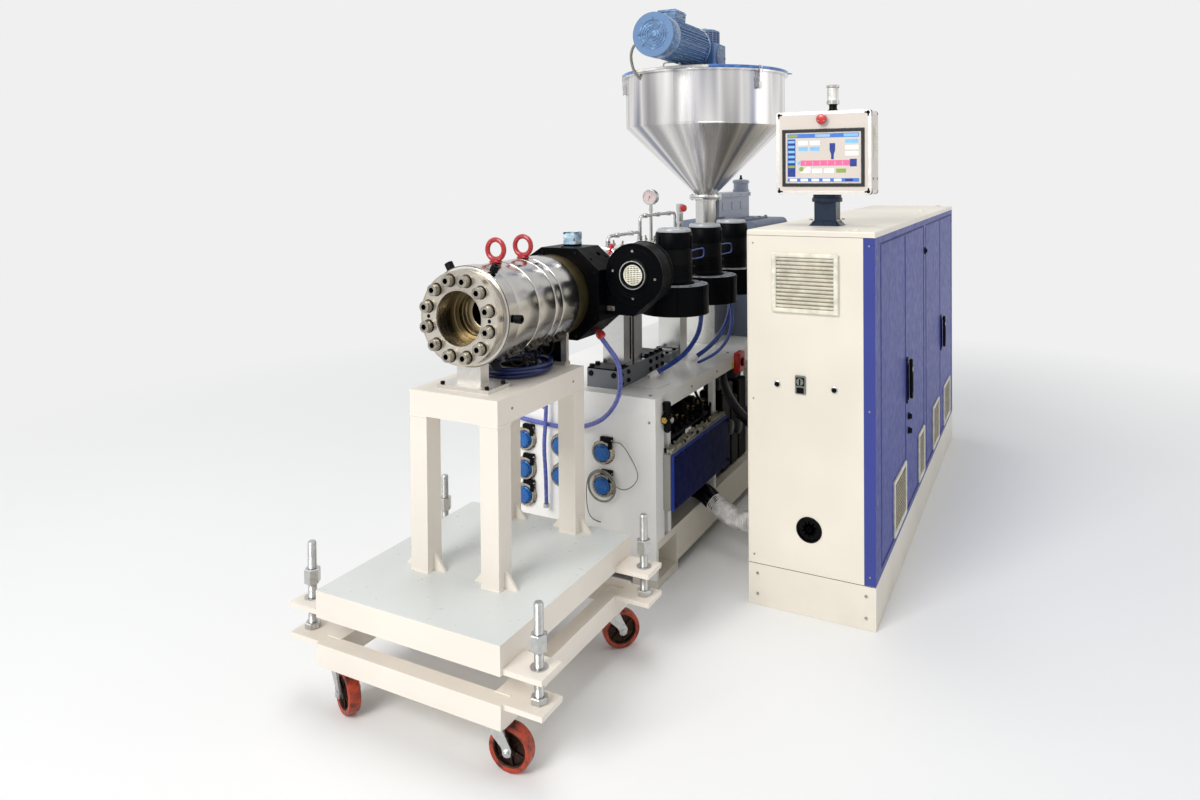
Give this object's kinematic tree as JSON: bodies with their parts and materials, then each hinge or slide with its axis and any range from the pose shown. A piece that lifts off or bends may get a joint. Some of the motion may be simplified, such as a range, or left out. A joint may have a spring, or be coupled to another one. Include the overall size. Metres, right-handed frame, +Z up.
{
  "type": "plastic extruder",
  "caption": "Extruder with a round die on a jack trolley, air-cooled barrel, stirred hopper, framed base and a long control cabinet with doors and operator panel.",
  "frame": {"origin": "on the floor under the middle of the whole machine", "axes": "+Y along the extruder, from the die to the drive; +X from the extruder to its cabinet; +Z up"},
  "size_m": [1.534, 3.604, 2.347],
  "materials": {
    "cream_paint": "satin enamel",
    "blue_paint": "satin enamel",
    "light_blue_paint": "satin enamel",
    "dark_paint": "satin enamel",
    "grey_paint": "satin enamel",
    "plated_steel": "zinc plated",
    "die_steel": "machined",
    "black_steel": "blackened",
    "stainless": "brushed",
    "brass": "machined",
    "red_paint": "gloss enamel",
    "wheel_rubber": "moulded",
    "black_plastic": "moulded",
    "blue_plastic": "moulded",
    "screen_plastic": "moulded",
    "cable_rubber": "matt",
    "hose_rubber": "matt"
  },
  "bodies": {
    "machine": {"adapter_ring": "brass", "barrel": "stainless", "barrel_supports": "stainless", "base_deck": "cream_paint", "base_tray": "cream_paint", "base_walls": "cream_paint", "beacon_lamp": "red_paint", "cabinet_frame": "blue_paint", "cabinet_plinth": "cream_paint", "cabinet_walls": "cream_paint", "cable_coil": "hose_rubber", "cooling_pipes": "plated_steel", "die_body": "die_steel", "die_flange": "die_steel", "die_hose": "hose_rubber", "die_screws": "black_steel", "die_supports": "cream_paint", "drive_motor": "light_blue_paint", "fan_housings": "dark_paint", "fan_motors": "dark_paint", "far_fan_cable": "hose_rubber", "feed_throat": "die_steel", "front_blower": "dark_paint", "front_shroud": "dark_paint", "gearbox": "grey_paint", "heater_bands": "stainless", "hmi_box": "screen_plastic", "hmi_post": "dark_paint", "hopper_lid": "cream_paint", "hopper_shell": "stainless", "jack_screws": "plated_steel", "lifting_eyes": "red_paint", "louvre_grille": "cream_paint", "mounting_plate": "plated_steel", "near_fan_cable": "hose_rubber", "operator_controls": "black_plastic", "portal_stand": "cream_paint", "power_conduit": "cable_rubber", "riser_hose": "hose_rubber", "side_feeder": "grey_paint", "side_fittings": "black_plastic", "stirrer_drive": "light_blue_paint", "trolley_frame": "cream_paint", "trolley_table": "cream_paint", "utility_sockets": "blue_plastic", "valve_panel": "blue_paint"},
    "caster_swivel_1": {"caster_fork_1": "black_steel"},
    "caster_roller_1": {"caster_wheel_1": "wheel_rubber"},
    "door_1": {"cabinet_door_1": "blue_paint"},
    "caster_swivel_2": {"caster_fork_2": "black_steel"},
    "caster_roller_2": {"caster_wheel_2": "wheel_rubber"},
    "door_2": {"cabinet_door_2": "blue_paint"},
    "caster_swivel_3": {"caster_fork_3": "black_steel"},
    "caster_roller_3": {"caster_wheel_3": "wheel_rubber"},
    "door_3": {"cabinet_door_3": "blue_paint"},
    "caster_swivel_4": {"caster_fork_4": "black_steel"},
    "caster_roller_4": {"caster_wheel_4": "wheel_rubber"},
    "door_4": {"cabinet_door_4": "blue_paint"},
    "handle_2": {"door_handle_2": "black_plastic"},
    "handle_4": {"door_handle_4": "black_plastic"}
  },
  "joints": [
    {"name": "caster_swivel_1", "type": "hinge", "parent": "machine", "child": "caster_swivel_1", "pos_m": [-0.032, -1.741, 0.14], "axis": [0, 0, 1], "continuous": true},
    {"name": "caster_roll_1", "type": "hinge", "parent": "caster_swivel_1", "child": "caster_roller_1", "pos_m": [0.00287, -1.73795, 0.0625], "axis": [0.0872, -0.9962, 0], "continuous": true},
    {"name": "caster_swivel_2", "type": "hinge", "parent": "machine", "child": "caster_swivel_2", "pos_m": [-0.602, -1.741, 0.14], "axis": [0, 0, 1], "continuous": true},
    {"name": "caster_roll_2", "type": "hinge", "parent": "caster_swivel_2", "child": "caster_roller_2", "pos_m": [-0.57028, -1.75579, 0.0625], "axis": [-0.4226, -0.9063, 0], "continuous": true},
    {"name": "caster_swivel_3", "type": "hinge", "parent": "machine", "child": "caster_swivel_3", "pos_m": [-0.032, -1.113, 0.14], "axis": [0, 0, 1], "continuous": true},
    {"name": "caster_roll_3", "type": "hinge", "parent": "caster_swivel_3", "child": "caster_roller_3", "pos_m": [-0.00725, -1.08825, 0.0625], "axis": [0.7071, -0.7071, 0], "continuous": true},
    {"name": "caster_swivel_4", "type": "hinge", "parent": "machine", "child": "caster_swivel_4", "pos_m": [-0.602, -1.113, 0.14], "axis": [0, 0, 1], "continuous": true},
    {"name": "caster_roll_4", "type": "hinge", "parent": "caster_swivel_4", "child": "caster_roller_4", "pos_m": [-0.602, -1.078, 0.0625], "axis": [1, 0, 0], "continuous": true},
    {"name": "door_hinge_1", "type": "hinge", "parent": "machine", "child": "door_1", "pos_m": [0.731, -0.505, 0.76], "axis": [0, 0, -1], "range_deg": [0, 90]},
    {"name": "door_hinge_2", "type": "hinge", "parent": "machine", "child": "door_2", "pos_m": [0.731, 0.553, 0.76], "axis": [0, 0, 1], "range_deg": [0, 90]},
    {"name": "door_hinge_3", "type": "hinge", "parent": "machine", "child": "door_3", "pos_m": [0.731, 0.655, 0.76], "axis": [0, 0, -1], "range_deg": [0, 90]},
    {"name": "door_hinge_4", "type": "hinge", "parent": "machine", "child": "door_4", "pos_m": [0.731, 1.713, 0.76], "axis": [0, 0, 1], "range_deg": [0, 90]},
    {"name": "handle_turn_2", "type": "hinge", "parent": "door_2", "child": "handle_2", "pos_m": [0.76, 0.061, 0.796], "axis": [1, 0, 0], "range_deg": [0, 90]},
    {"name": "handle_turn_4", "type": "hinge", "parent": "door_4", "child": "handle_4", "pos_m": [0.76, 1.221, 0.796], "axis": [1, 0, 0], "range_deg": [0, 90]}
  ]
}
